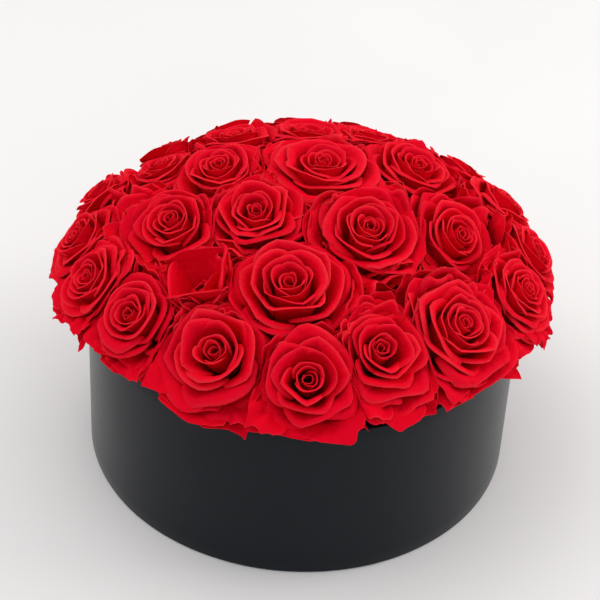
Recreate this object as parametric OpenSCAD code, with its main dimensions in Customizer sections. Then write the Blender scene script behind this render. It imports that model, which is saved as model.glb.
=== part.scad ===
// Round flower box: a low, paper-covered greyboard drum, filled with dry foam that carries
// a dome of rose heads. The drum stands on the XY plane with its axis on Z. Azimuths are
// counted from -Y, the front, towards +X. Lengths are millimetres and angles are degrees.

/* [Drum] */
// Outside diameter of the drum
drum_d = 250; // [246:1:262]
// Outside height of the drum
drum_h = 107; // [100:1:108]
// Thickness of the greyboard in the wall and in the base
board_t = 2; // [1.5:0.25:2.5]
// Thickness of each pasted paper
paper_t = 0.4; // [0.2:0.05:0.5]
// Width of the cover paper that is turned in over the rim and under the foot
turn_in = 12; // [6:1:20]

/* [Foam] */
// Height of the foam puck that fills the drum
puck_h = 80; // [70:1:84]
// Gap round the foam puck, inside the turned-in cover paper
puck_gap = 3; // [1:0.5:6]
// Diameter of the foam cap that stands on the puck
cap_d = 208; // [190:2:220]
// Rise of the foam cap above the puck
cap_rise = 36; // [28:1:37]
// Diameter of the wooden skewers that pin the cap to the puck
skewer_d = 3; // [2:0.5:4]
// Length of a skewer
skewer_l = 60; // [40:5:70]

/* [Roses] */
// How far the tips of the rose heads stand out past the drum's wall
dome_overhang = 17; // [15:1:19]
// Level of the dome's widest circle above the table
dome_level = 101; // [100:1:104]
// Rise of the dome of roses above its widest circle
dome_rise = 73; // [72:1:78]
// Depth of a head above its widest circle, as a share of its radius
head_crown = 0.38; // [0.3:0.02:0.4]
// Depth of a head below its widest circle, as a share of its radius
head_bowl = 1.05; // [0.9:0.05:1.05]
// Width of the green calyx under a head
calyx_d = 11; // [8:1:12]
// Depth of the calyx
calyx_h = 9; // [6:1:10]
// Diameter of the wooden pick that holds a head in the foam
pick_d = 2.4; // [2:0.2:3]
// Length of a pick below its calyx
pick_l = 38; // [36:1:40]

/* [Hidden] */
$fn = 96;

// Rose heads, each as [azimuth, angle down from the crown, diameter], going round from the front.
crown_heads = [
    [59, 16, 52], [168, 15, 56], [293, 14, 48]
];
shoulder_heads = [
    [83, 37, 46], [133, 36, 48], [159, 45, 34], [183, 38, 40], [211, 41, 38],
    [238, 27, 42], [239, 48, 36], [282, 34, 42], [315, 37, 30], [354, 28, 60]
];
rim_heads = [
    [2, 56, 46], [25, 51, 40], [50, 54, 50], [76, 61, 38], [95, 65, 34], [113, 60, 40],
    [132, 60, 36], [150, 65, 34], [168, 65, 34], [187, 63, 38], [206, 63, 38], [224, 64, 36],
    [252, 65, 34], [271, 63, 38], [289, 62, 36], [308, 57, 42], [335, 54, 52]
];
all_heads = concat(crown_heads, shoulder_heads, rim_heads);

// Round the drum's wall, from the outside in
drum_r = drum_d / 2;
paste = 0.05;                                // line of paste between two pasted layers
board_r = drum_r - paper_t - paste;          // outside of the greyboard tube
tube_r = board_r - board_t;                  // inside of the greyboard tube
lining_r = tube_r - paste - paper_t;         // inside of the lining paper
lip_r = lining_r - paste - paper_t;          // inside of the cover paper's turned-in lip

// Up the drum, from the table
cover_z = paper_t + paste;                   // underside of the turned-under cover paper
tube_z = cover_z + paper_t + paste;          // underside of the greyboard
floor_z = tube_z + board_t + paste;          // underside of the floor paper
inside_z = floor_z + paper_t;                // the drum's floor
tube_top = drum_h - paper_t - paste;         // top edge of the greyboard tube

// Foam
lift_gap = 0.3;                              // between the drum's floor and the foam
puck_z = inside_z + lift_gap;
puck_r = lip_r - puck_gap;
puck_top = puck_z + puck_h;
cap_r = cap_d / 2;
cap_sphere_r = (cap_r * cap_r + cap_rise * cap_rise) / (2 * cap_rise);
cap_centre_z = puck_top + cap_rise - cap_sphere_r;
bore_gap = 0.05;                             // between a pick or skewer and its hole in the foam
skewer_ring_r = 11;
skewer_count = 3;
skewer_turn = 354;
skewer_z = puck_top - skewer_l / 2;
tip_l = 5;                                   // pointed end of a pick or skewer
tip_d = 0.8;

// Dome of roses
dome_r = drum_r + dome_overhang;
head_step = 10;                              // angle between two points of a head's outline

// Depth below a head's tip of the flat base that sits on its calyx.
function base_depth(head) = head[2] / 2 * (head_crown + head_bowl * sin(80));

// Lean of a head's axis from vertical: the dome's own normal at that place.
function lean(head) = atan2(sin(head[1]) / dome_r, cos(head[1]) / dome_rise);

// A flat ring, or a tube, about the Z axis.
module ring(inner_r, outer_r, z, height) {
    translate([0, 0, z])
        difference() {
            cylinder(r = outer_r, h = height);
            translate([0, 0, -1]) cylinder(r = inner_r, h = height + 2);
        }
}

// Puts its children at a head's tip on the dome, with their Z axis pointing out of it.
module at_head(head) {
    rotate([0, 0, head[0] - 90])
        translate([dome_r * sin(head[1]), 0, dome_level + dome_rise * cos(head[1])])
            rotate([0, lean(head), 0])
                children();
}

// Round stick that points down, with its blunt end at the origin.
module stick(d, length) {
    translate([0, 0, tip_l - length]) cylinder(d = d, h = length - tip_l);
    translate([0, 0, -length]) cylinder(d1 = tip_d, d2 = d, h = tip_l);
}

// Moves its children to each skewer's top.
module at_skewers() {
    for (i = [0:skewer_count - 1])
        rotate([0, 0, skewer_turn + i * 360 / skewer_count - 90])
            translate([skewer_ring_r, 0, skewer_z + skewer_l])
                children();
}

// Holes that the picks and the skewers make in the foam.
module foam_holes() {
    for (head = all_heads)
        at_head(head)
            translate([0, 0, -base_depth(head) - calyx_h - pick_l])
                cylinder(d = pick_d + 2 * bore_gap, h = pick_l);
    at_skewers()
        translate([0, 0, -skewer_l]) cylinder(d = skewer_d + 2 * bore_gap, h = skewer_l);
}

// Paper disc that closes the underside and stands on the table
module base_paper() {
    color([0.12, 0.12, 0.13]) cylinder(r = drum_r - 1.5, h = paper_t);
}

// Greyboard disc inside the foot of the tube
module base_board() {
    color([0.60, 0.57, 0.52])
        translate([0, 0, tube_z]) cylinder(r = tube_r - paste, h = board_t);
}

// Paper on the drum's floor
module floor_paper() {
    color([0.14, 0.14, 0.15])
        translate([0, 0, floor_z]) cylinder(r = lining_r - paste, h = paper_t);
}

// Greyboard tube
module box_wall() {
    color([0.60, 0.57, 0.52]) ring(tube_r, board_r, tube_z, tube_top - tube_z);
}

// Black cover paper: under the foot, up the wall, over the rim and down inside as a lip
module wall_wrap() {
    color([0.12, 0.12, 0.13])
        rotate_extrude()
            polygon([
                [drum_r - turn_in, cover_z],
                [drum_r, cover_z],
                [drum_r, drum_h],
                [lip_r, drum_h],
                [lip_r, drum_h - turn_in],
                [lip_r + paper_t, drum_h - turn_in],
                [lip_r + paper_t, drum_h - paper_t],
                [drum_r - paper_t, drum_h - paper_t],
                [drum_r - paper_t, cover_z + paper_t],
                [drum_r - turn_in, cover_z + paper_t]
            ]);
}

// Lining paper inside the tube, under the lip
module wall_liner() {
    color([0.14, 0.14, 0.15])
        ring(lining_r, lining_r + paper_t, floor_z, tube_top - floor_z);
}

// Round puck of dry foam
module foam_block() {
    color([0.11, 0.15, 0.11])
        difference() {
            translate([0, 0, puck_z]) cylinder(r = puck_r, h = puck_h);
            foam_holes();
        }
}

// Carved cap of dry foam that gives the dome its shape
module foam_cap() {
    color([0.11, 0.15, 0.11])
        difference() {
            intersection() {
                translate([0, 0, cap_centre_z]) sphere(r = cap_sphere_r);
                translate([0, 0, puck_top]) cylinder(r = cap_r + 1, h = cap_rise + 1);
            }
            foam_holes();
        }
}

// Skewers that pin the cap to the puck
module foam_skewers() {
    color([0.80, 0.68, 0.48])
        at_skewers() stick(skewer_d, skewer_l);
}

// Picks under the rose heads
module rose_picks() {
    color([0.80, 0.68, 0.48])
        for (head = all_heads)
            at_head(head)
                translate([0, 0, -base_depth(head) - calyx_h]) stick(pick_d, pick_l);
}

// Green cups under the rose heads
module rose_calyxes() {
    color([0.22, 0.35, 0.16])
        for (head = all_heads)
            at_head(head)
                translate([0, 0, -base_depth(head) - calyx_h])
                    cylinder(d1 = pick_d + 1, d2 = calyx_d, h = calyx_h);
}

// One rose head: a round bowl of petals with a flatter crown
module rose_head(head) {
    r = head[2] / 2;
    color([0.78, 0.03, 0.09])
        at_head(head)
            translate([0, 0, -head_crown * r])
                rotate_extrude()
                    polygon(concat(
                        [[0, -head_bowl * r * sin(80)]],
                        [for (t = [80:-head_step:0]) [r * cos(t), -head_bowl * r * sin(t)]],
                        [for (t = [head_step:head_step:90]) [r * cos(t), head_crown * r * sin(t)]]
                    ));
}

// Draws the heads of one ring, each under its own node name.
module rose_ring(ring_name, heads) {
    for (i = [1:len(heads)])
        rose_head(heads[i - 1]);
}

base_paper();
base_board();
floor_paper();
box_wall();
wall_wrap();
wall_liner();
foam_block();
foam_cap();
foam_skewers();
rose_picks();
rose_calyxes();
rose_ring("crown", crown_heads);
rose_ring("shoulder", shoulder_heads);
rose_ring("rim", rim_heads);
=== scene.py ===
"""Flower box: a black paper-covered drum of roses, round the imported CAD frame."""
import math
import random

import bpy
import numpy as np
from mathutils import Matrix, Vector, noise


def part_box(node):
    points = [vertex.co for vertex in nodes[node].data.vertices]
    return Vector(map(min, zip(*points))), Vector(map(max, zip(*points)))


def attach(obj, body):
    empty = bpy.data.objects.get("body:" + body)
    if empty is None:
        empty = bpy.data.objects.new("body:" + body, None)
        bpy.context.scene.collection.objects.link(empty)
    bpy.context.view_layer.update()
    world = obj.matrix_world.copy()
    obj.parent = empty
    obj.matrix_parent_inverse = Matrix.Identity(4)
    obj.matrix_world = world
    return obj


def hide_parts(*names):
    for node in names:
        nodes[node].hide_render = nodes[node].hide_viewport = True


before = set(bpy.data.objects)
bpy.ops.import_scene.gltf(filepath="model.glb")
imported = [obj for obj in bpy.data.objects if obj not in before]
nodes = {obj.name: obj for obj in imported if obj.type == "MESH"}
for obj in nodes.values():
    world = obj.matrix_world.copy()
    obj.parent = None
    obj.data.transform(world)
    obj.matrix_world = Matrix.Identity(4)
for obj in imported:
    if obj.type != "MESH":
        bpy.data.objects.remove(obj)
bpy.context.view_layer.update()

MM = 0.001

# ---------------------------------------------------------------- camera
CAMERA_AIM = Vector((-0.0022, 0.0473, 0.0590))
CAMERA_DISTANCE = 1.225
CAMERA_PITCH = math.radians(38.7)
CAMERA_ROLL = math.radians(3.3)
CAMERA_LENS = 120.0


def make_camera():
    data = bpy.data.cameras.new("camera")
    data.lens = CAMERA_LENS
    data.sensor_width = 36.0
    camera = bpy.data.objects.new("camera", data)
    bpy.context.scene.collection.objects.link(camera)
    tilt = Matrix.Rotation(math.pi / 2 - CAMERA_PITCH, 4, "X")
    turn = tilt @ Matrix.Rotation(CAMERA_ROLL, 4, "Z")
    back = turn.to_3x3() @ Vector((0, 0, 1))
    camera.matrix_world = Matrix.Translation(CAMERA_AIM + back * CAMERA_DISTANCE) @ turn
    bpy.context.scene.camera = camera


make_camera()


# ---------------------------------------------------------------- materials
class Nodes:
    """Short calls for building one material's node tree round its Principled shader."""

    def __init__(self, name):
        self.material = bpy.data.materials.new(name)
        self.material.use_nodes = True
        self.tree = self.material.node_tree
        self.shader = self.tree.nodes["Principled BSDF"]

    def add(self, kind, **settings):
        node = self.tree.nodes.new(kind)
        for key, value in settings.items():
            setattr(node, key, value)
        return node

    def link(self, a, b):
        self.tree.links.new(a, b)

    def coords(self, scale=(1, 1, 1)):
        place = self.add("ShaderNodeTexCoord")
        mapping = self.add("ShaderNodeMapping")
        mapping.inputs["Scale"].default_value = scale
        self.link(place.outputs["Object"], mapping.inputs["Vector"])
        return mapping.outputs["Vector"]

    def noise(self, vector, scale, detail=4.0, roughness=0.55):
        node = self.add("ShaderNodeTexNoise")
        node.inputs["Scale"].default_value = scale
        node.inputs["Detail"].default_value = detail
        node.inputs["Roughness"].default_value = roughness
        self.link(vector, node.inputs["Vector"])
        return node.outputs["Fac"]

    def ramp(self, fac, stops):
        node = self.add("ShaderNodeValToRGB")
        elements = node.color_ramp.elements
        elements[0].position, elements[0].color = stops[0][0], (*stops[0][1], 1)
        elements[1].position, elements[1].color = stops[-1][0], (*stops[-1][1], 1)
        for position, colour in stops[1:-1]:
            elements.new(position).color = (*colour, 1)
        self.link(fac, node.inputs["Fac"])
        return node.outputs["Color"]

    def mix(self, fac, a, b, blend="MIX"):
        node = self.add("ShaderNodeMix", data_type="RGBA", blend_type=blend)
        for value, socket in ((fac, node.inputs[0]), (a, node.inputs[6]), (b, node.inputs[7])):
            if isinstance(value, bpy.types.NodeSocket):
                self.link(value, socket)
            elif isinstance(value, float):
                socket.default_value = value
            else:
                socket.default_value = (*value, 1)
        return node.outputs[2]

    def math(self, operation, a, b=0.5):
        node = self.add("ShaderNodeMath", operation=operation)
        for value, socket in ((a, node.inputs[0]), (b, node.inputs[1])):
            if isinstance(value, bpy.types.NodeSocket):
                self.link(value, socket)
            else:
                socket.default_value = value
        return node.outputs[0]

    def bump(self, height, strength, distance):
        node = self.add("ShaderNodeBump")
        node.inputs["Strength"].default_value = strength
        node.inputs["Distance"].default_value = distance
        self.link(height, node.inputs["Height"])
        return node

    def finish(self, colour, rough, **sockets):
        self.link(colour, self.shader.inputs["Base Color"])
        if isinstance(rough, bpy.types.NodeSocket):
            self.link(rough, self.shader.inputs["Roughness"])
        else:
            self.shader.inputs["Roughness"].default_value = rough
        for key, value in sockets.items():
            self.shader.inputs[key.replace("_", " ")].default_value = value
        return self.material


def petal_material():
    """Velvety red with painted light along each petal: painted shade deep at its base and a painted
    highlight on its rolled edge; faintly veined.
    """
    m = Nodes("rose_petal")
    attribute = m.add("ShaderNodeAttribute", attribute_name="petal")
    split = m.add("ShaderNodeSeparateXYZ")
    m.link(attribute.outputs["Vector"], split.inputs[0])
    across, along, tone = split.outputs
    # Painted light along the petal: painted shade at the base deep in the rose, and a lighter, more
    # orange painted highlight on the rolled lip.
    body = m.ramp(along, [
        (0.0, (0.54, 0.0002, 0.005)),
        (0.45, (0.83, 0.0003, 0.012)),
        (0.86, (0.87, 0.0006, 0.016)),
        (0.93, (0.89, 0.0040, 0.022)),
        (1.0, (0.96, 0.0350, 0.050))])
    tinted = m.mix(m.math("MULTIPLY", tone, 0.55), body, (0.68, 0.0003, 0.019))
    join = m.add("ShaderNodeCombineXYZ")
    m.link(m.math("MULTIPLY", across, 34.0), join.inputs[0])
    m.link(m.math("MULTIPLY", along, 3.0), join.inputs[1])
    m.link(m.math("MULTIPLY", tone, 9.0), join.inputs[2])
    veins = m.noise(join.outputs[0], 1.0, 3.0, 0.6)
    pile = m.noise(m.coords(), 2600.0, 2.0)
    mottle = m.noise(m.coords(), 160.0, 4.0)
    shade = m.mix(m.math("MULTIPLY", mottle, 0.30), tinted, (0.60, 0.0003, 0.009))
    shade = m.mix(m.math("MULTIPLY", veins, 0.22), shade, (0.88, 0.002, 0.020))
    fine = m.math("ADD", m.math("MULTIPLY", veins, 0.7), m.math("MULTIPLY", pile, 0.3))
    height = m.math("ADD", fine, m.math("MULTIPLY", mottle, 6.0))
    m.link(m.bump(height, 0.60, 0.0005).outputs[0], m.shader.inputs["Normal"])
    return m.finish(shade, 0.66, Specular_IOR_Level=0.03, Sheen_Weight=0.03,
                    Sheen_Roughness=0.5, Sheen_Tint=(1.0, 0.02, 0.05, 1))


def cover_paper_material():
    """Matte black cover paper with a fine grain, faint rubbed patches and a cool blue tint that is
    painted reflection.
    """
    m = Nodes("cover_paper")
    grain = m.noise(m.coords(), 1500.0, 3.0)
    cloud = m.noise(m.coords(), 22.0, 5.0)
    fibre = m.noise(m.coords((1, 1, 0.25)), 420.0, 3.0)
    # The black's cool blue tint is a painted reflection of cool light; the patches vary at random.
    base = m.ramp(cloud, [(0.25, (0.0032, 0.0050, 0.0080)), (0.75, (0.0048, 0.0066, 0.0096))])
    colour = m.mix(m.math("MULTIPLY", fibre, 0.25), base, (0.009, 0.011, 0.014))
    rough = m.add("ShaderNodeMapRange")
    rough.inputs["To Min"].default_value = 0.26
    rough.inputs["To Max"].default_value = 0.34
    m.link(cloud, rough.inputs["Value"])
    height = m.math("ADD", m.math("MULTIPLY", grain, 0.6), m.math("MULTIPLY", fibre, 0.4))
    m.link(m.bump(height, 0.25, 0.0002).outputs[0], m.shader.inputs["Normal"])
    return m.finish(colour, rough.outputs[0], Specular_IOR_Level=0.12, Sheen_Weight=0.08,
                    Sheen_Roughness=0.45, Sheen_Tint=(0.95, 0.97, 1.0, 1))


def plain_material(name, dark, light, scale, rough, stretch=(1, 1, 1), bump=0.3, depth=0.0004):
    """A fibrous or porous material: two tones by noise, and the same noise as its relief."""
    m = Nodes(name)
    coarse = m.noise(m.coords(stretch), scale, 5.0, 0.6)
    fine = m.noise(m.coords(stretch), scale * 7.0, 3.0, 0.6)
    tone = m.math("ADD", m.math("MULTIPLY", coarse, 0.6), m.math("MULTIPLY", fine, 0.4))
    m.link(m.bump(tone, bump, depth).outputs[0], m.shader.inputs["Normal"])
    return m.finish(m.ramp(tone, [(0.35, dark), (0.65, light)]), rough, Specular_IOR_Level=0.3)


PETAL = petal_material()
COVER = cover_paper_material()
LINING = plain_material("lining_paper", (0.010, 0.010, 0.011), (0.020, 0.020, 0.022), 300.0, 0.75)
BOARD = plain_material("greyboard", (0.30, 0.28, 0.25), (0.46, 0.43, 0.38), 260.0, 0.85)
FOAM = plain_material("dry_foam", (0.004, 0.006, 0.004), (0.016, 0.022, 0.015), 700.0, 0.95,
                      bump=0.9, depth=0.0012)
WOOD = plain_material("bare_wood", (0.42, 0.28, 0.15), (0.66, 0.50, 0.32), 240.0, 0.65, (1, 1, 0.08))
CALYX = plain_material("calyx_green", (0.030, 0.070, 0.016), (0.085, 0.160, 0.045), 180.0, 0.55)


def dress(node, material):
    """Gives a CAD node that keeps its own shape its material."""
    mesh = nodes[node].data
    mesh.materials.clear()
    mesh.materials.append(material)


# ---------------------------------------------------------------- mesh helpers
def make_object(name, verts, faces, material, smooth=True):
    mesh = bpy.data.meshes.new(name)
    mesh.from_pydata([tuple(v) for v in verts], [], faces)
    mesh.materials.append(material)
    if smooth:
        mesh.polygons.foreach_set("use_smooth", [True] * len(mesh.polygons))
    mesh.update()
    piece = bpy.data.objects.new(name, mesh)
    bpy.context.scene.collection.objects.link(piece)
    return piece


def grid_normals(points):
    """Unit normals of an (across, along, 3) grid of points."""
    du = np.gradient(points, axis=0)
    dv = np.gradient(points, axis=1)
    n = np.cross(du, dv)
    length = np.linalg.norm(n, axis=2, keepdims=True)
    return n / np.maximum(length, 1e-12)


def shell_faces(nu, nv, start):
    """Faces of a closed shell made of a front grid and a back grid of nu by nv points."""
    front = np.arange(nu * nv).reshape(nu, nv) + start
    back = front + nu * nv
    faces = []
    for i in range(nu - 1):
        for j in range(nv - 1):
            a, b, c, d = front[i, j], front[i + 1, j], front[i + 1, j + 1], front[i, j + 1]
            faces.append((a, b, c, d))
            a, b, c, d = back[i, j], back[i, j + 1], back[i + 1, j + 1], back[i + 1, j]
            faces.append((a, b, c, d))
    rim = [(i, 0) for i in range(nu)] + [(nu - 1, j) for j in range(1, nv)]
    rim += [(i, nv - 1) for i in range(nu - 2, -1, -1)] + [(0, j) for j in range(nv - 2, 0, -1)]
    for (i, j), (k, m) in zip(rim, rim[1:] + rim[:1]):
        faces.append((front[k, m], front[i, j], back[i, j], back[k, m]))
    return faces


# ---------------------------------------------------------------- rose heads in the frame
# Depth of a CAD head above its widest circle, as a share of its radius.
HEAD_CROWN = 0.38
# How far a rim rose has sprung out of the dome: at the left and right, and at the back.
SPRUNG_SIDE = 7 * MM
SPRUNG_BACK = 2 * MM
# Roses that face the front, or the right, more than the dome's slope does, in degrees.
FACING = {
    "rose_crown_1": (14, 0), "rose_crown_2": (5, 0), "rose_crown_3": (12, 0),
    "rose_shoulder_1": (19, 15), "rose_shoulder_2": (10, 5),
    "rose_shoulder_6": (14, 0), "rose_shoulder_8": (14, 0),
}


def unit(vector):
    return vector / np.linalg.norm(vector)


def round_axis(points):
    """Axis of a round solid: the direction in which its points spread unlike the other two."""
    spread, axes = np.linalg.eigh(np.cov((points - points.mean(axis=0)).T))
    odd = 0 if spread[1] - spread[0] > spread[2] - spread[1] else 2
    return axes[:, odd]


class Head:
    """Place, axis and size of one CAD rose head, read from its mesh, and how its rose stands."""

    def __init__(self, name, inside):
        co = np.array([v.co for v in nodes[name].data.vertices], float)
        co = np.unique(np.round(co, 6), axis=0)
        mean = co.mean(axis=0)
        stem = round_axis(co)
        if stem @ (mean - inside) < 0:
            stem = -stem
        height = (co - mean) @ stem
        away = (co - mean) - height[:, None] * stem
        self.name = name
        self.stem = stem
        self.radius = np.linalg.norm(away, axis=1).max()
        self.tip = mean + stem * (height.max() + self.outset(name, mean))
        self.centre = self.tip - stem * HEAD_CROWN * self.radius
        self.foot = self.tip - stem * (height.max() - height.min())
        front, right = FACING.get(name, (0, 0))
        lean = np.array([math.tan(math.radians(right)), -math.tan(math.radians(front)), 0])
        self.axis = unit(stem + lean)
        down = unit(np.array([self.tip[0], self.tip[1], 0.0])) - np.array([0, 0, 1.0])
        self.ex = unit(down - (down @ self.axis) * self.axis)
        self.ey = np.cross(self.axis, self.ex)

    def outset(self, name, place):
        """How far the rose has sprung out of the dome along its stem."""
        if "rim" not in name:
            return 0.0
        x, y = unit(place[:2])
        return SPRUNG_SIDE * x ** 4 + SPRUNG_BACK * max(0, y)


inside = np.array([0, 0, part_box("foam_cap")[0].z])
heads = [Head(n, inside) for n in sorted(nodes) if n.startswith("rose_") and n[-1].isdigit()]
wrap_lo, wrap_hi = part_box("wall_wrap")
WALL_R = wrap_hi.x
WALL_TOP = wrap_hi.z


# ---------------------------------------------------------------- petals
# Columns of points across a petal, and rows along its body and along its rolled lip.
ACROSS = 23
FINE_ACROSS = 45
BODY_ROWS = 9
LIP_ROWS = 7
# Half the angle of one side of the five-sided outline that a rose's petals fold into.
FACET = math.pi / 5
THICK = 0.45 * MM
# A petal's foot on the calyx, as reach and height in its rose's own frame.
FOOT = (0.10, -1.30)
# How straight a petal's profile leaves its foot and meets its rim, as shares of its length.
FOOT_PULL = 0.40
RIM_PULL = 0.34
# Share of the petal's length, in its material's own terms, at which the lip begins.
LIP_MARK = 0.84


def smoothstep(x):
    x = np.clip(x, 0, 1)
    return x * x * (3 - 2 * x)


def bump(x, wide):
    """Smooth hill of height 1 at zero."""
    return np.exp(-(x / wide) ** 2)


def rim_outline(p, u):
    """Share of the full profile at which each column's lip begins: the petal's outline."""
    side = np.abs(u)
    end = 1 - p["round"] * (1 - np.sqrt(1 - side ** 4)) - p["drop"] * side ** p["shoulder"]
    end = end + p["point"] * bump(u, 0.22)
    ragged = np.convolve(p["ragged"][:len(u) + 2], (0.25, 0.5, 0.25), "valid")
    return end - p["nicks"] * ragged[:, None]


def long_profile(p):
    """The four control points of a petal's profile, from its foot to its rim."""
    foot = np.array(FOOT)
    rim = np.array([p["rim_r"], p["rim_z"]])
    span = np.linalg.norm(rim - foot)
    leaves = np.array([math.sin(p["start"]), math.cos(p["start"])])
    arrives = np.array([math.sin(p["lean"]), math.cos(p["lean"])])
    return foot, foot + leaves * span * FOOT_PULL, rim - arrives * span * RIM_PULL, rim


def curve(points, s):
    """Reach and height at s on a cubic Bezier curve."""
    weights = ((1 - s) ** 3, 3 * s * (1 - s) ** 2, 3 * s * s * (1 - s), s ** 3)
    return [sum(w * q[i] for w, q in zip(weights, points)) for i in (0, 1)]


def curve_angle(points, s):
    """Angle from vertical at s on a cubic Bezier curve."""
    weights = (3 * (1 - s) ** 2, 6 * s * (1 - s), 3 * s * s)
    steps = [b - a for a, b in zip(points, points[1:])]
    dr, dz = [sum(w * step[i] for w, step in zip(weights, steps)) for i in (0, 1)]
    return np.arctan2(dr, dz)


def rolled_lip(p, u, rolled, r, z, angle):
    """Reach and height of the lip: an arc that rolls back from the end of the profile."""
    side = np.abs(u)
    curl = p["curl"] * (0.60 + 0.70 * side ** 1.3)
    lip = p["lip"] * (0.80 + 0.55 * side ** 1.5 + 0.22 * np.sin(3.1 * u + 9 * p["phase"]))
    lip = lip * (0.25 + 0.75 * np.sqrt(1 - side ** 4))
    lip_r = r - (np.cos(angle + curl * rolled) - np.cos(angle)) * lip / curl
    lip_z = z + (np.sin(angle + curl * rolled) - np.sin(angle)) * lip / curl
    return lip_r, lip_z


def petal_grid(p):
    """Front surface of one petal in its rose's own frame, in units of the rose's radius.

    p holds the azimuth, the rim's radius and height, the two end angles of the long profile from
    vertical, the half width, the outline of the rim, the rolled lip, a crease and small waves.
    The second result holds each point's place across and along the petal, and the petal's tone."""
    across = FINE_ACROSS if p["fine"] else ACROSS
    u = np.sin(np.linspace(-1, 1, across) * math.pi / 2)[:, None]
    end = rim_outline(p, u)
    rows = np.linspace(0, 1, BODY_ROWS)[None, :] ** 0.85
    s = end * rows
    profile = long_profile(p)
    r, z = curve(profile, s)
    rolled = (np.arange(1, LIP_ROWS + 1) / LIP_ROWS)[None, :]
    lip_r, lip_z = rolled_lip(p, u, rolled, r[:, -1:], z[:, -1:], curve_angle(profile, end))
    r = np.concatenate([r, lip_r], axis=1)
    z = np.concatenate([z, lip_z], axis=1)
    s = np.concatenate([s, np.repeat(end, LIP_ROWS, axis=1)], axis=1)
    up = smoothstep(s / 0.75)
    turn = u * p["half"] * (0.55 + 0.45 * up)
    facet = p["facet"]
    flat = 1 / np.cos(np.mod(turn + facet, 2 * facet) - facet) - 1
    r = r * (1 + up * (p["flat"] * flat + p["twist"] * u))
    r = r - up ** 2 * p["crease"] * bump(u - p["fold"], 0.16)
    wave = p["wave"] * up ** 2
    r = r + wave * np.sin(2 * math.pi * (p["beats"] * u + p["phase"]))
    z = z + wave * np.sin(2 * math.pi * (p["beats"] * 0.7 * u + p["phase"] * 2.3))
    angle = p["azimuth"] + turn
    x = r * np.cos(angle) + p["shift"][0]
    y = r * np.sin(angle) + p["shift"][1]
    along = np.concatenate([rows * LIP_MARK, LIP_MARK + (1 - LIP_MARK) * rolled], axis=1)
    marks = np.broadcast_arrays((u + 1) / 2, along, p["tone"])
    return np.stack([x, y, z], axis=2), np.stack(marks, axis=2)


# How deep the heart sits, then the whorls of petals from the bud outwards, each as (petals,
# inner radius, outer radius), in units of the rose's radius.
KINDS = {
    "pocket": (0.0, ()),
    "tight": (0.03, ((5, 0.04, 0.17), (6, 0.20, 0.43), (5, 0.46, 0.70), (5, 0.74, 0.96))),
    "cup": (0.12, ((4, 0.05, 0.15), (5, 0.20, 0.38), (5, 0.43, 0.67), (5, 0.72, 0.96))),
    "hollow": (0.22, ((4, 0.05, 0.16), (3, 0.20, 0.28), (5, 0.42, 0.65), (5, 0.70, 0.96))),
}
# Roses of a certain kind. The others are tight or cupped.
KIND_OF = {
    "rose_rim_1": "hollow", "rose_rim_2": "hollow", "rose_rim_17": "hollow",
    "rose_rim_16": "cup", "rose_shoulder_10": "cup", "rose_crown_3": "cup",
    "rose_rim_3": "tight", "rose_crown_1": "tight", "rose_shoulder_1": "tight",
    "rose_shoulder_9": "pocket",
}
# Roses whose bud stands clearly off the middle, as its place down and round the dome in units of
# the rose's radius.
DRIFT = {"rose_rim_2": (-0.14, -0.10), "rose_rim_17": (-0.04, 0.02)}
# Roses whose outer petals stand up instead of opening out.
STANDING = ("rose_shoulder_3", "rose_shoulder_4", "rose_shoulder_5", "rose_crown_2")
# Guard petals round the outside of a rose.
GUARDS = 7
# An open rose's petals reach past the CAD head, but less so past a broad one.
OPEN_SIZE = 1.27
BROAD = 21 * MM
BROAD_SHARE = 0.6
# Step from one petal to the next round a whorl, close to the golden angle.
WHORL_STEP = 2.4


def petal_settings(rng, turn, rim_r, shape):
    """One petal's settings from the radius of its rim: the further out, the wider it opens."""
    t = min(1.0, rim_r)
    opening = shape["opening"]
    level = 0.02 + 0.05 * t - (shape["fall"] + 0.12 * opening) * t ** 2.2
    level -= shape["sink"] * bump(rim_r, 0.28)
    lean = -12 + (72 + 22 * opening) * t ** 1.25
    return dict(
        azimuth=turn,
        shift=[d * max(0.0, 1 - t) + rng.uniform(-0.035, 0.035) * t for d in shape["drift"]],
        rim_r=rim_r,
        rim_z=level + rng.uniform(-0.06, 0.05) * (0.4 + t),
        start=math.radians(8 + 62 * t),
        lean=math.radians(lean + rng.uniform(-12, 12) * (0.4 + t)),
        half=1.95 - 0.80 * t + rng.uniform(-0.15, 0.15),
        round=0.20,
        drop=0.02 + 0.08 * t,
        shoulder=rng.uniform(1.4, 2.6),
        point=rng.uniform(-0.02, 0.05) * t,
        fine=False,
        nicks=0.02 + 0.02 * t,
        ragged=[rng.random() for i in range(FINE_ACROSS + 2)],
        facet=FACET,
        lip=0.045 + 0.125 * t * rng.uniform(0.6, 1.9),
        curl=math.radians(58 + 72 * t + rng.uniform(-30, 30)),
        flat=(0.25 + 0.45 * t) * rng.uniform(0.2, 1.4),
        twist=shape["wind"] * rng.uniform(0.02, 0.05 + 0.05 * t),
        crease=rng.uniform(-0.01, 0.03) * t,
        fold=rng.uniform(-0.4, 0.4),
        wave=(0.003 + 0.034 * t ** 2) * rng.uniform(0.4, 1.5),
        beats=rng.uniform(0.5, 1.3),
        phase=rng.random(),
        loose=rng.uniform(-2.0, 1.5) * MM,
        hang=0.0,
        stray=rng.uniform(-0.9, 1.5) * t ** 2 * MM,
        tone=rng.random() ** 1.5)


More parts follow.
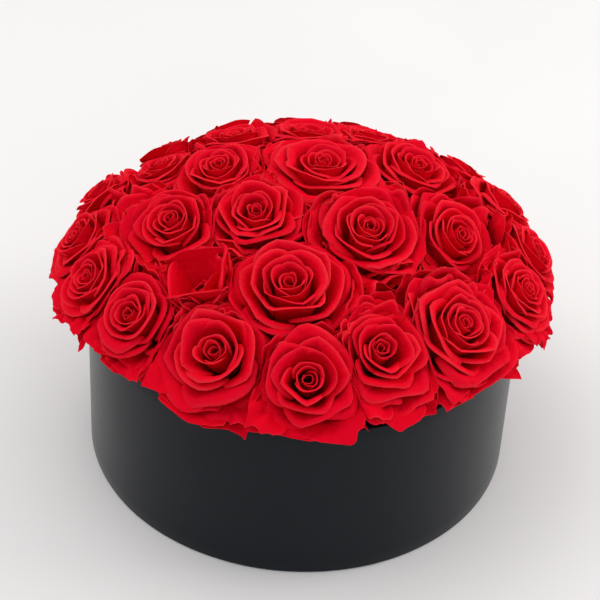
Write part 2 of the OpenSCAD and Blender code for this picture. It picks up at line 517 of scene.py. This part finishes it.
def rose_petals(rng, shape):
    """The petals of one rose from the bud outwards: its whorls, then a ring of guard petals."""
    petals = []
    turn = rng.uniform(0, 2 * math.pi)
    for number, inner, outer in shape["whorls"]:
        for k in range(number):
            rim_r = inner + (outer - inner) * (k + rng.uniform(0.05, 0.65)) / number
            turn += WHORL_STEP + rng.uniform(-0.35, 0.35)
            petals.append(petal_settings(rng, turn, rim_r, shape))
    for k in range(GUARDS):
        turn += 4 * math.pi / GUARDS + rng.uniform(-0.2, 0.2)
        if k == GUARDS // 2:
            turn += math.pi / GUARDS
        p = petal_settings(rng, turn, 1.0 + 0.24 * k / GUARDS, shape)
        p.update(
            half=rng.uniform(0.75, 1.0),
            round=0.5,
            drop=rng.uniform(0.10, 0.28),
            shoulder=rng.uniform(1.1, 1.6),
            point=rng.uniform(0.01, 0.10),
            lip=rng.uniform(0.08, 0.24),
            flat=rng.uniform(0.6, 1.3),
            wave=p["wave"] * 1.5,
            crease=rng.uniform(0.0, 0.08))
        petals.append(p)
    return petals


# Petals of the rose without a bud, from its heart outwards. Each has its quarter turn, the rim's
# radius and height, the lean, and the lip's length and curl, with both angles in degrees.
POCKET = (
    (0.20, 0.04, -0.74, -75, 0.02, 40),
    (0.90, 0.10, -0.72, -70, 0.03, 40),
    (1.50, 0.16, -0.70, -65, 0.04, 40),
    (0.60, 0.30, -0.30, -30, 0.03, 40),
    (-0.25, 0.74, -0.12, 30, 0.12, 90),
    (1.25, 0.82, 0.10, 2, 0.05, 60),
    (0.75, 0.84, 0.12, -14, 0.16, 160),
    (0.25, 0.72, -0.02, 2, 0.19, 150),
)
# Petals whose rim is within this radius are the wide remnants of the bud.
HEART_R = 0.25


def pocket_petals(rng, shape):
    """A rose that has lost its bud: broad straight-edged petals folded into a square cup."""
    petals = []
    for quarter, rim_r, rim_z, lean, lip, curl in POCKET:
        p = petal_settings(rng, quarter * math.pi, rim_r, shape)
        p.update(
            rim_z=rim_z,
            lean=math.radians(lean),
            lip=lip,
            curl=math.radians(curl),
            half=0.90 if rim_r > HEART_R else 1.6,
            flat=1.0,
            facet=0.95,
            round=0.10,
            drop=0.0,
            point=0.0,
            crease=0.0,
            wave=p["wave"] * 0.4)
        petals.append(p)
    return petals


def corner_petals(rng, shape, corners, size):
    """Spare outer petals that stand in the gaps between a rose and its neighbours."""
    petals = []
    for turn, reach in corners:
        for k, share in enumerate((0.70, 0.84, 0.97)):
            azimuth = turn + rng.uniform(-0.35, 0.35)
            p = petal_settings(rng, azimuth, share * reach / size, shape)
            p.update(
                rim_z=rng.uniform(-0.46, -0.14) - 0.05 * k,
                lean=math.radians(rng.uniform(-20, 48)),
                half=rng.uniform(0.30, 0.62),
                round=0.5,
                point=rng.uniform(0.0, 0.10),
                lip=rng.uniform(0.06, 0.22),
                curl=math.radians(rng.uniform(70, 150)),
                flat=0.3,
                crease=rng.uniform(0.0, 0.10),
                stray=rng.uniform(0, 3) * MM)
            petals.append(p)
    return petals


# Directions of a rim rose's skirt petals, in radians from straight down the dome.
SKIRT_TURNS = (-0.70, 0.75, -0.05, -1.0, 0.95, 0.35)


def skirt_petals(rng, shape):
    """Guard petals on a rim rose's outer side, which lap over the drum's rim with ragged ends."""
    petals = []
    for k, turn in enumerate(SKIRT_TURNS):
        p = petal_settings(rng, turn + rng.uniform(-0.25, 0.25), 1.36 + 0.06 * k, shape)
        rim_z = -0.34 - 0.08 * k + rng.uniform(-0.05, 0.05)
        ruffled = rng.random() < shape["ruffles"]
        p.update(
            rim_z=rim_z,
            wave=rng.uniform(0.04, 0.07) if ruffled else rng.uniform(0.01, 0.04),
            beats=rng.uniform(1.8, 3.2) if ruffled else rng.uniform(0.6, 1.4),
            lean=math.radians(rng.uniform(88, 112)),
            half=rng.uniform(0.45, 0.70),
            round=0.5,
            curl=math.radians(rng.uniform(10, 60)),
            drop=rng.uniform(0.05, 0.16),
            shoulder=rng.uniform(1.2, 1.8),
            point=rng.uniform(0.02, 0.18),
            lip=rng.uniform(0.05, 0.12),
            fine=True,
            nicks=0.12 if ruffled else 0.06,
            loose=rng.uniform(-3.0, 0.5) * MM,
            hang=13.0 * rng.random() ** 2 * MM)
        petals.append(p)
    return petals


# ---------------------------------------------------------------- packing the heads together
def press_back(past, soft, give):
    """How far to push back a point that is past a soft wall by the given distance."""
    return soft * np.logaddexp(0, past / soft) * (1 - give)


class Cell:
    """Presses one rose's petals back from the planes between it and its neighbours.

    The planes give way, so petals of neighbouring roses still cross in places."""

    # How a petal meets a wall: the gap it leaves, how much it still gives way, and how softly.
    GAP = 0.5 * MM
    GIVE = 0.12
    SOFT = 2.0 * MM
    # Neighbours further off than this many times both radii don't count.
    NEAR = 2.2
    # Most that a wall leans, as a slope.
    TILT = 0.45
    # A wall seen more edge-on than this isn't met.
    EDGE_ON = 0.05
    # A gap is filled when it reaches between these many radii from the head: at a corner between
    # two walls, or straight down the dome and nearly straight to each side.
    CORNER_FROM = 1.22
    SIDE_FROM = 1.5
    FILL_TO = 2.6
    SIDE_TURNS = np.array([-1.35, 0.0, 1.35])
    # The seam along a wall wanders as a wave, in radians per metre. A loose petal follows it.
    SEAM_WAVE = np.array([210.0, 160.0, 260.0])
    SEAM_PHASE = 6.3
    SEAM_MEAN = 1.4
    CORNER_TURNS = np.linspace(0, 2 * math.pi, 48, endpoint=False)

    def __init__(self, head):
        """Each wall is a point and a normal. It leans at random, alike from both its sides."""
        self.walls = []
        for other in heads:
            step = other.centre - head.centre
            distance = np.linalg.norm(step)
            both = head.radius + other.radius
            if other is head or distance > self.NEAR * both:
                continue
            first = head.name < other.name
            pair = random.Random(head.name + other.name if first else other.name + head.name)
            tilt = pair.uniform(-self.TILT, self.TILT) * (1 if first else -1)
            normal = unit(unit(step) + tilt * unit(head.axis + other.axis))
            self.walls.append((head.centre + unit(step) * distance * head.radius / both, normal))

    def reaches(self, head, turns):
        """Distances from the head to its neighbours' planes in the given directions round it."""
        rays = np.cos(turns)[:, None] * head.ex + np.sin(turns)[:, None] * head.ey
        reach = np.full(len(turns), np.inf)
        for place, n in self.walls:
            facing = rays @ n
            away = (place - head.centre) @ n / np.maximum(facing, self.EDGE_ON)
            reach = np.where(facing > self.EDGE_ON, np.minimum(reach, away), reach)
        return reach

    def corners(self, head):
        """Directions round the head, with distances, in which its neighbours leave a gap."""
        most = self.FILL_TO * head.radius
        reach = self.reaches(head, self.CORNER_TURNS)
        peaks = (reach >= np.roll(reach, 1)) & (reach > np.roll(reach, -1))
        wide = (reach > self.CORNER_FROM * head.radius) & (reach < most)
        gaps = [(self.CORNER_TURNS[i], reach[i]) for i in np.flatnonzero(peaks & wide)]
        for turn, away in zip(self.SIDE_TURNS, self.reaches(head, self.SIDE_TURNS)):
            if self.SIDE_FROM * head.radius < away < most:
                gaps.append((turn, away))
        return gaps

    def press(self, points, loose, phase):
        """Presses a petal back from each wall, along a seam that wanders a little."""
        for place, n in self.walls:
            seam = np.sin((points - place) @ self.SEAM_WAVE + self.SEAM_PHASE * phase)
            past = (points - place) @ n + self.GAP - loose * (self.SEAM_MEAN + seam)
            points = points - press_back(past, self.SOFT, self.GIVE)[..., None] * n
        return points


# Outline of the rim roses' outer side, in the plane of reach and height: its widest reach, a slant,
# and the low edge over the drum's rim. Each side of it has a place, an outward normal, and how far
# the place moves out and up: at the left and right, then in the quarters between those and the
# front and back.
WIDEST = WALL_R + 20.5 * MM
LOWEST = WALL_TOP + 2.5 * MM
SKIRT = (
    ((WIDEST, 0.0), (1.0, 0.0), (1 * MM, 0.0), (0.0, 0.0)),
    ((WALL_R + 7.5 * MM, LOWEST), (0.72, -0.69), (10 * MM, -8 * MM), (-3 * MM, 8 * MM)),
    ((0.0, LOWEST), (0.0, -1.0), (0.0, -8 * MM), (0.0, 8 * MM)),
)
SKIRT_SOFT = 2.0 * MM
SKIRT_GIVE = 0.15
# The outline holds from this reach outwards, and fully a little further out.
SKIRT_FROM = 0.6 * WALL_R
SKIRT_BLEND = 0.2 * WALL_R
# Gap that the petals keep over the drum's rim.
RIM_MARGIN = 1.4 * MM


def tuck_under(points, loose):
    """Keeps a petal within the skirt's outline, give or take, and lifts it over the drum's rim."""
    reach = np.hypot(points[..., 0], points[..., 1])
    height = points[..., 2]
    was = np.maximum(reach, 1e-6)
    # Both are 1 at most: one at the left and right, and the other in the quarters.
    side = (points[..., 0] / was) ** 4
    quarter = 27 / 4 * side * (points[..., 1] / was) ** 2
    for (place_r, place_z), (nr, nz), at_side, at_quarter in SKIRT:
        place_r = place_r + side * at_side[0] + quarter * at_quarter[0]
        place_z = place_z + side * at_side[1] + quarter * at_quarter[1]
        past = (reach - place_r) * nr + (height - place_z) * nz - loose
        back = press_back(past, SKIRT_SOFT, SKIRT_GIVE)
        back = back * smoothstep((was - SKIRT_FROM) / SKIRT_BLEND)
        reach = reach - back * nr
        height = height - back * nz
    over = np.clip((WALL_R + 2 * RIM_MARGIN - reach) / RIM_MARGIN, 0, 1)
    height = height + np.maximum(WALL_TOP + RIM_MARGIN - height, 0) * over
    scale = (reach / was)[..., None]
    return np.concatenate([points[..., :2] * scale, height[..., None]], axis=-1)


# Height of a rose's ceiling above its tip, as a share of its radius, and how it gives way.
CEILING = 0.16
CEILING_SOFT = 1.0 * MM
CEILING_GIVE = 0.1


def under_ceiling(points, head):
    """Flattens whatever the pressing has raised above the rose's own dome."""
    proud = (points - head.tip) @ head.axis - CEILING * head.radius
    return points - press_back(proud, CEILING_SOFT, CEILING_GIVE)[..., None] * head.axis


def rose_shape(rng, head):
    """What all the petals of one rose share: its kind, how open it is and how it is wound."""
    sink, whorls = KINDS[KIND_OF.get(head.name) or rng.choice(("tight", "cup", "tight"))]
    return dict(
        sink=sink,
        whorls=whorls,
        opening=rng.uniform(0, 1),
        wind=rng.choice((-1, 1)),
        ruffles=0.35 + 0.5 * abs(head.axis[0]),
        drift=DRIFT.get(head.name) or [rng.uniform(-0.08, 0.08), rng.uniform(-0.08, 0.08)],
        fall=0.15 if head.name in STANDING else rng.uniform(0.30, 0.44))


def place_petal(head, cell, size, p, grid):
    """Takes a petal's grid into the model's frame and packs it among its neighbours."""
    own_axes = np.stack([head.ex, head.ey, head.axis])
    # A turned rose's petals bend back towards the calyx on its stem.
    deep = smoothstep((-grid[..., 2:] - 0.5) / 0.8)
    bend = deep * -FOOT[1] * size * (head.axis - head.stem)
    points = head.tip + (grid * size) @ own_axes + bend
    points = under_ceiling(cell.press(points, p["stray"], p["phase"]), head)
    aside = np.abs(np.sin(np.linspace(-1, 1, len(points)) * math.pi / 2))[:, None]
    return tuck_under(points, p["loose"] + p["hang"] * (1 - aside))


def thicken(points):
    """Front and back of a petal: thinner at its edges, and most of all at its rolled tip."""
    nu, nv = points.shape[:2]
    edge = np.minimum(1, (1 - np.abs(np.linspace(-1, 1, nu))[:, None]) * 4)
    tip = np.minimum(1, (nv - 1 - np.arange(nv))[None, :] / 3)
    half = grid_normals(points) * (THICK * (0.35 + 0.65 * edge * tip)[..., None]) / 2
    return [(points + half).reshape(-1, 3), (points - half).reshape(-1, 3)]


def build_rose(head, seed):
    """All the petals of one rose, as one piece that takes the place of its CAD head."""
    rng = random.Random(seed)
    size = head.radius * OPEN_SIZE - max(0, head.radius - BROAD) * BROAD_SHARE
    shape = rose_shape(rng, head)
    petals = rose_petals(rng, shape)
    if not shape["whorls"]:
        petals += pocket_petals(rng, shape)
    cell = Cell(head)
    petals += corner_petals(rng, shape, cell.corners(head), size)
    if "rim" in head.name:
        petals += skirt_petals(rng, shape)
    verts, faces, marks = [], [], []
    start = 0
    for p in petals:
        grid, mark = petal_grid(p)
        nu, nv = grid.shape[:2]
        verts += thicken(place_petal(head, cell, size, p, grid))
        faces += shell_faces(nu, nv, start)
        marks += [mark.reshape(-1, 3)] * 2
        start += 2 * nu * nv
    piece = make_object(head.name + "_petals", np.concatenate(verts), faces, PETAL)
    layer = piece.data.attributes.new("petal", "FLOAT_VECTOR", "POINT")
    layer.data.foreach_set("vector", np.concatenate(marks).ravel())
    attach(piece, "arrangement")
    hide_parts(head.name)


FIRST_SEED = 100
for number, head in enumerate(heads):
    build_rose(head, FIRST_SEED + number)


# ---------------------------------------------------------------- calyxes
CALYX_SEED = 7
SEPALS = 5
SEPAL_LONG = 15 * MM
SEPAL_WIDE = 2.6 * MM
SEPAL_THICK = 0.4 * MM
CALYX_R = 5.5 * MM
CALYX_H = 9 * MM
# Width and level of the cup from its stem to its mouth, as shares of its own size.
CUP = ((0.31, 0.0), (0.42, 0.10), (0.80, 0.32), (1.0, 0.62), (0.92, 0.86), (1.0, 1.0))
CUP_SEGMENTS = 20
CUP_RIBS = 0.06


def lathe_faces(rows, segments, start):
    """Faces of a closed lathe of the given rows, each a ring, with its two ends capped."""
    faces = []
    for i in range(rows - 1):
        for j in range(segments):
            k = (j + 1) % segments
            a, b = start + i * segments, start + (i + 1) * segments
            faces.append((a + j, a + k, b + k, b + j))
    faces.append(tuple(start + j for j in reversed(range(segments))))
    faces.append(tuple(start + (rows - 1) * segments + j for j in range(segments)))
    return faces


def calyx_cup(head):
    """Points of one ribbed cup, ring by ring from the stem up to the head's foot."""
    turns = np.arange(CUP_SEGMENTS) * 2 * math.pi / CUP_SEGMENTS
    ring = np.cos(turns)[:, None] * head.ex + np.sin(turns)[:, None] * head.ey
    ring = ring * (1 + CUP_RIBS * np.cos(SEPALS * turns)[:, None])
    return np.concatenate([
        head.foot + head.stem * (level - 1) * CALYX_H + ring * wide * CALYX_R
        for wide, level in CUP])


def sepal_grid(head, turn, bend, long):
    """Middle surface of one pointed sepal that leaves the cup's mouth and curls back."""
    t = np.linspace(0, 1, 10)[:, None]
    u = np.linspace(-1, 1, 5)[None, :]
    out = math.cos(turn) * head.ex + math.sin(turn) * head.ey
    side = np.cross(head.axis, out)
    r = 0.8 * CALYX_R + long * np.sin(bend * t) / bend
    z = -long * (1 - np.cos(bend * t)) / bend
    half = SEPAL_WIDE * (1 - 0.97 * t) ** 0.7 * (0.75 + 0.9 * t * (1 - t))
    fold = -0.35 * half * (1 - np.abs(u))
    points = head.foot + r[..., None] * out + (z + fold)[..., None] * head.axis
    return points + (half * u)[..., None] * side


def build_calyxes():
    """Green cups under the heads, each with five sepals."""
    rng = random.Random(CALYX_SEED)
    verts, faces = [], []
    for head in heads:
        start = sum(len(v) for v in verts)
        verts.append(calyx_cup(head))
        faces += lathe_faces(len(CUP), CUP_SEGMENTS, start)
        for k in range(SEPALS):
            turn = 2 * math.pi * (k + rng.uniform(-0.1, 0.1)) / SEPALS
            bend = rng.uniform(1.7, 2.5)
            long = SEPAL_LONG * rng.uniform(0.8, 1.1)
            points = sepal_grid(head, turn, bend, long)
            half = grid_normals(points) * SEPAL_THICK / 2
            start = sum(len(v) for v in verts)
            verts += [(points + half).reshape(-1, 3), (points - half).reshape(-1, 3)]
            faces += shell_faces(*points.shape[:2], start)
    piece = make_object("rose_calyx_cups", np.concatenate(verts), faces, CALYX)
    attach(piece, "arrangement")
    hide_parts("rose_calyxes")


build_calyxes()


# ---------------------------------------------------------------- foam
def turned(outline, segments):
    """Rings of points about the Z axis, one for each (reach, height) point of an outline."""
    turns = np.arange(segments) * 2 * math.pi / segments
    rings = [[(r * math.cos(a), r * math.sin(a), z) for a in turns] for r, z in outline]
    return np.array(rings), turns


def finely(outline, step):
    """The same outline with points no further apart than about a step."""
    fine = []
    for (r0, z0), (r1, z1) in zip(outline, outline[1:]):
        count = max(1, round(math.hypot(r1 - r0, z1 - z0) / step))
        fine += [(r0 + (r1 - r0) * i / count, z0 + (z1 - z0) * i / count) for i in range(count)]
    return fine + [outline[-1]]


# Radius of the small flat at the axis, where a solid of revolution's caps close.
EYE = 0.5 * MM
FOAM_BEVEL = 1.5 * MM
FOAM_STEP = 2.2 * MM
# Mean depth of the rough skin inside the CAD foam, then how deep and how fine the knife's flats
# and the cells' pits are. Fineness is noise cells per metre.
FOAM_SKIN = 0.3 * MM
CUT_DEEP = 0.5 * MM
CUT_FINE = 45.0
PIT_DEEP = 0.9 * MM
PIT_FINE = 900.0
# The roughness fades out within this reach of the axis.
CALM_R = 8 * MM


def crumble(rings):
    """Knife-cut foam: shallow flats left by the knife, and torn cells all over."""
    out = rings.copy()
    reach = np.hypot(rings[..., 0], rings[..., 1])
    middle = Vector((0, 0, rings[..., 2].mean()))
    for i, j in np.ndindex(reach.shape):
        co = Vector(rings[i, j])
        cut = noise.noise(co * CUT_FINE) * CUT_DEEP
        pit = max(0.0, noise.noise(co * PIT_FINE)) * PIT_DEEP
        fade = min(1.0, reach[i, j] / CALM_R)
        out[i, j] = co + (middle - co).normalized() * (cut + pit + FOAM_SKIN) * fade
    return out


def build_foam(node, outline, segments):
    """One piece of cut foam, closed by small caps at the axis and without the CAD's bores."""
    outline = finely(outline, FOAM_STEP)
    rings = crumble(turned(outline, segments)[0])
    faces = lathe_faces(len(outline), segments, 0)
    piece = make_object(node + "_cut", rings.reshape(-1, 3), faces, FOAM)
    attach(piece, "arrangement")
    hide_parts(node)


def block_outline():
    lo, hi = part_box("foam_block")
    r, bevel = hi.x, FOAM_BEVEL
    return [
        (EYE, lo.z), (r - bevel, lo.z), (r, lo.z + bevel),
        (r, hi.z - bevel), (r - bevel, hi.z), (EYE, hi.z)]


def cap_outline():
    lo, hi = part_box("foam_cap")
    r, rise = hi.x, hi.z - lo.z
    ball = (r * r + rise * rise) / (2 * rise)
    turns = np.linspace(math.asin(r / ball), 0.005, 24)
    dome = [(ball * math.sin(a), hi.z - ball * (1 - math.cos(a))) for a in turns]
    return [(EYE, lo.z)] + dome


build_foam("foam_block", block_outline(), segments=300)
build_foam("foam_cap", cap_outline(), segments=260)


# ---------------------------------------------------------------- cover paper
SEAM_TURN = math.pi / 2
SEAM_WIDE = 14 * MM
SEAM_STEP = 0.25 * MM
# Width over which a step in the paper rises.
STEP_SOFT = 0.5 * MM
PAPER = 0.4 * MM
# Drawn thickness against the board, twice the real one. It reaches into the board, out of sight.
BACKED = 2 * PAPER
TURN_IN = 12 * MM
WRAP_STEP = 9 * MM
# Bend of the paper at the foot and over the rim, and how far it stays inside the CAD wall.
SOFT_EDGE = 0.7 * MM
INSET = 0.1 * MM
# Gap between the foam and the turned-in paper.
FOAM_GAP = 3 * MM


def quarter(centre_r, centre_z, start):
    """A soft edge: a quarter circle of (reach, height) points from a start angle in degrees."""
    turns = np.radians(start + np.linspace(0, 90, 5))
    return [(centre_r + SOFT_EDGE * math.cos(a), centre_z + SOFT_EDGE * math.sin(a)) for a in turns]


def wrap_outline():
    """The paper's section: from under the foot up the wall, over the rim, down inside and back."""
    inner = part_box("foam_block")[1].x + FOAM_GAP
    outer = WALL_R - INSET
    foot, rim = wrap_lo.z, wrap_hi.z
    outside = [(outer - TURN_IN, foot)]
    outside += quarter(outer - SOFT_EDGE, foot + SOFT_EDGE, -90)
    outside += quarter(outer - SOFT_EDGE, rim - SOFT_EDGE, 0)
    outside += quarter(inner + SOFT_EDGE, rim - SOFT_EDGE, 90)
    return outside + [
        (inner, rim - TURN_IN), (inner + PAPER, rim - TURN_IN),
        (inner + PAPER, rim - BACKED), (outer - BACKED, rim - BACKED),
        (outer - BACKED, foot + PAPER), (outer - TURN_IN, foot + PAPER)]


def paper_skin(rings, turns):
    """The cover paper's overlap at the back, and the faint unevenness of pasted board."""
    out = rings.copy()
    reach = np.hypot(rings[..., 0], rings[..., 1])
    overlap = smoothstep(((turns - SEAM_TURN) * WALL_R + SEAM_WIDE / 2) / STEP_SOFT)
    overlap = overlap * (np.abs(turns - SEAM_TURN) * WALL_R < SEAM_WIDE / 2)
    outer = smoothstep((reach - WALL_R + STEP_SOFT) / PAPER)
    waves = 0.05 * np.sin(5 * turns + 1) + 0.04 * np.sin(11 * turns + 2 + 40 * rings[..., 2])
    swell = outer * (SEAM_STEP * overlap[None, :] + waves * MM)
    out[..., :2] *= (1 + swell / reach)[..., None]
    return out


def build_wrap():
    """The cover paper as one closed ring: its section turned about the drum's axis."""
    segments = 720
    outline = finely(wrap_outline(), WRAP_STEP)
    rings, turns = turned(outline, segments)
    rings = paper_skin(rings, turns)
    count = len(outline)
    faces = []
    for i in range(count):
        for j in range(segments):
            k, m = (j + 1) % segments, (i + 1) % count
            faces.append((i * segments + j, i * segments + k, m * segments + k, m * segments + j))
    piece = make_object("cover_paper_wrap", rings.reshape(-1, 3), faces, COVER)
    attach(piece, "box")
    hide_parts("wall_wrap")


build_wrap()


# ---------------------------------------------------------------- nodes that keep their CAD shape
dress("base_paper", COVER)
dress("wall_liner", LINING)
dress("floor_paper", LINING)
dress("box_wall", BOARD)
dress("base_board", BOARD)
dress("foam_skewers", WOOD)
dress("rose_picks", WOOD)


# ---------------------------------------------------------------- floor and light
def make_floor():
    m = Nodes("floor")
    cloud = m.noise(m.coords(), 3.0, 3.0)
    colour = m.ramp(cloud, [(0.3, (0.86, 0.85, 0.84)), (0.7, (0.90, 0.89, 0.88))])
    m.finish(colour, 0.5, Specular_IOR_Level=0.2)
    side = 6.0
    verts = [(-side, -side, 0), (side, -side, 0), (side, side, 0), (-side, side, 0)]
    floor = make_object("floor", verts, [(0, 1, 2, 3)], m.material, smooth=False)


def area_light(name, place, target, size, power, colour):
    data = bpy.data.lights.new(name, "AREA")
    data.shape = "RECTANGLE"
    data.size, data.size_y = size
    data.energy = power
    data.color = colour
    light = bpy.data.objects.new(name, data)
    place, target = Vector(place), Vector(target)
    light.rotation_mode = "QUATERNION"
    light.rotation_quaternion = (target - place).to_track_quat("-Z", "Y")
    light.location = place
    bpy.context.scene.collection.objects.link(light)


def make_light():
    """A soft room, brighter behind the box than in front of it, with two large lamps."""
    world = bpy.data.worlds.new("world")
    world.use_nodes = True
    tree = world.node_tree
    direction = tree.nodes.new("ShaderNodeTexCoord")
    towards = tree.nodes.new("ShaderNodeVectorMath")
    towards.operation = "DOT_PRODUCT"
    towards.inputs[1].default_value = (0.25, 0.85, 0.45)
    spread = tree.nodes.new("ShaderNodeMapRange")
    spread.inputs["From Min"].default_value = -0.8
    spread.inputs["From Max"].default_value = 0.9
    ramp = tree.nodes.new("ShaderNodeValToRGB")
    front, behind = ramp.color_ramp.elements
    front.color = (0.66, 0.70, 0.75, 1)
    behind.color = (0.92, 0.90, 0.89, 1)
    background = tree.nodes["Background"]
    background.inputs["Strength"].default_value = 1.0
    tree.links.new(direction.outputs["Generated"], towards.inputs[0])
    tree.links.new(towards.outputs["Value"], spread.inputs["Value"])
    tree.links.new(spread.outputs["Result"], ramp.inputs["Fac"])
    tree.links.new(ramp.outputs["Color"], background.inputs["Color"])
    bpy.context.scene.world = world
    area_light("key", (-0.7, 0.15, 1.5), (0, 0, 0.1), (1.2, 1.2), 5.5, (1.0, 0.98, 0.95))
    area_light("fill", (1.35, 0.25, 0.8), (0, 0, 0.06), (0.9, 0.9), 6.5, (1.0, 0.97, 0.93))


make_floor()
make_light()
bpy.context.scene.view_settings.view_transform = "Standard"
